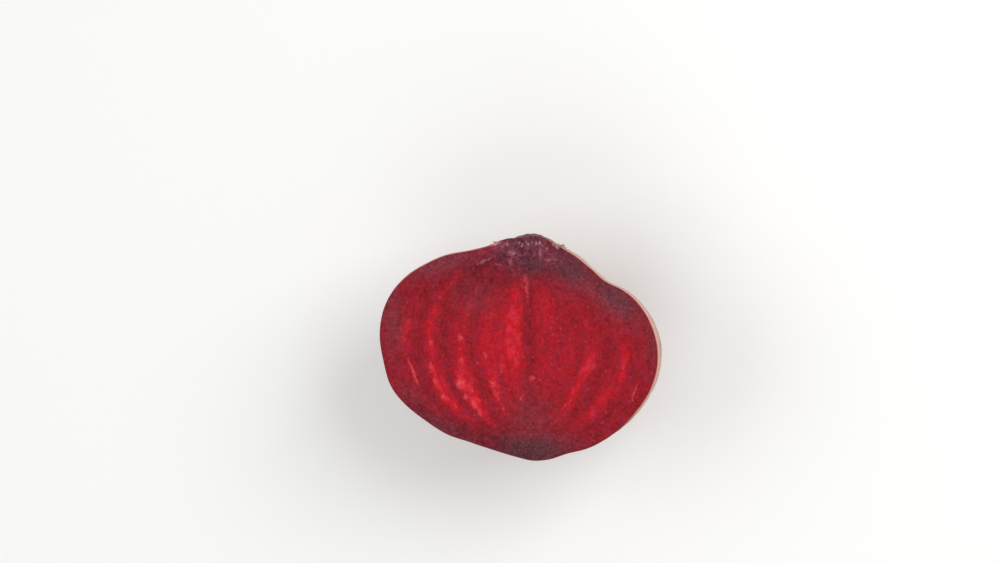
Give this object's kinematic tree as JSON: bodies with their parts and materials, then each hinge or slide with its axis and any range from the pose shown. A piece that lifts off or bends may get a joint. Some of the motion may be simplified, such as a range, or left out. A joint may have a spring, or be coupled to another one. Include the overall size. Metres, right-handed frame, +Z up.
{
  "type": "halved beetroot",
  "caption": "Half of a raw beetroot cut lengthwise through crown and root, lying on its round skin side with the ringed cut face up.",
  "frame": {"origin": "on the surface the half rests on, under the middle of its outline", "axes": "+Z up out of the cut face, +Y from the root tip towards the crown, +X across the cut face to its right"},
  "size_m": [0.088, 0.0694, 0.0426],
  "materials": {
    "flesh": "moist satin, deep red with darker and lighter growth rings",
    "skin": "matt, rosy brown, mottled and rough"
  },
  "bodies": {
    "root": {"beetroot_half": "flesh"}
  },
  "joints": []
}
